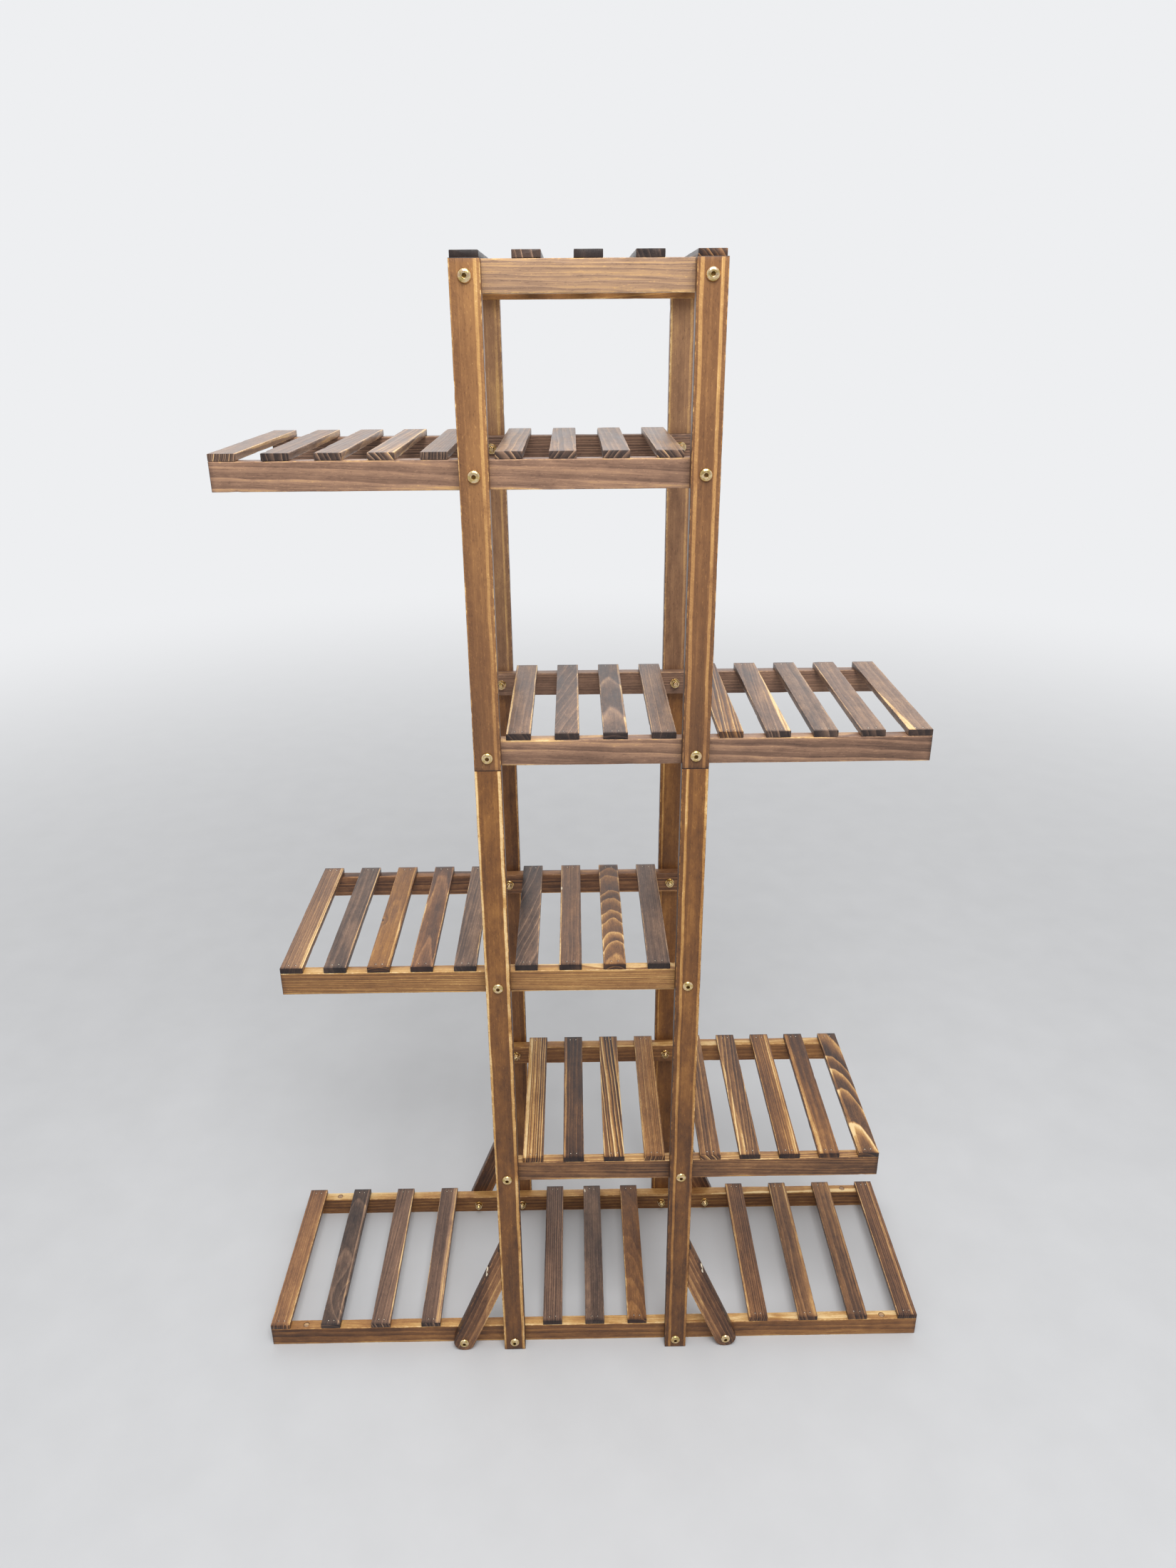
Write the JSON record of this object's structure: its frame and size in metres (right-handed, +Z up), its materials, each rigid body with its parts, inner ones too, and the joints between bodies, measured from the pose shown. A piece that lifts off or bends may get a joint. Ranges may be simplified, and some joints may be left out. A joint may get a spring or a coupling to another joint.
{
  "type": "plant stand",
  "caption": "Tall slatted wooden plant stand: a narrow bolted frame of posts with shelf wings to alternate sides, a wide bottom shelf and raking braces at the foot.",
  "frame": {"origin": "on the floor, midway between the four posts, which is the middle of the bounding box's base", "axes": "+X to the right as seen from the front, -Y towards the front, +Z up"},
  "size_m": [0.93, 0.2986, 1.4175],
  "materials": {
    "frame_wood": "torched softwood, satin varnish",
    "brace_wood": "darker torched softwood, satin varnish",
    "slat_wood": "torched softwood, dark and streaked, satin varnish",
    "dowel_wood": "plain hardwood",
    "yellow_zinc_steel": "yellow zinc plated steel"
  },
  "bodies": {
    "root": {"back_left_brace": "brace_wood", "back_left_lower_post": "frame_wood", "back_left_upper_post": "frame_wood", "back_right_brace": "brace_wood", "back_right_lower_post": "frame_wood", "back_right_upper_post": "frame_wood", "brace_screws": "yellow_zinc_steel", "flange_bolts": "yellow_zinc_steel", "front_left_brace": "brace_wood", "front_left_lower_post": "frame_wood", "front_left_upper_post": "frame_wood", "front_right_brace": "brace_wood", "front_right_lower_post": "frame_wood", "front_right_upper_post": "frame_wood", "hexagon_nuts": "yellow_zinc_steel", "splice_dowels": "dowel_wood", "tier_1_back_rail": "frame_wood", "tier_1_centre_slats": "slat_wood", "tier_1_front_rail": "frame_wood", "tier_1_left_slats": "slat_wood", "tier_1_right_slats": "slat_wood", "tier_2_back_rail": "frame_wood", "tier_2_centre_slats": "slat_wood", "tier_2_front_rail": "frame_wood", "tier_2_wing_slats": "slat_wood", "tier_3_back_rail": "frame_wood", "tier_3_centre_slats": "slat_wood", "tier_3_front_rail": "frame_wood", "tier_3_wing_slats": "slat_wood", "tier_4_back_rail": "frame_wood", "tier_4_centre_slats": "slat_wood", "tier_4_front_rail": "frame_wood", "tier_4_wing_slats": "slat_wood", "tier_5_back_rail": "frame_wood", "tier_5_centre_slats": "slat_wood", "tier_5_front_rail": "frame_wood", "tier_5_wing_slats": "slat_wood", "tier_6_back_rail": "frame_wood", "tier_6_front_rail": "frame_wood", "tier_6_slats": "slat_wood", "washers": "yellow_zinc_steel"}
  },
  "joints": []
}
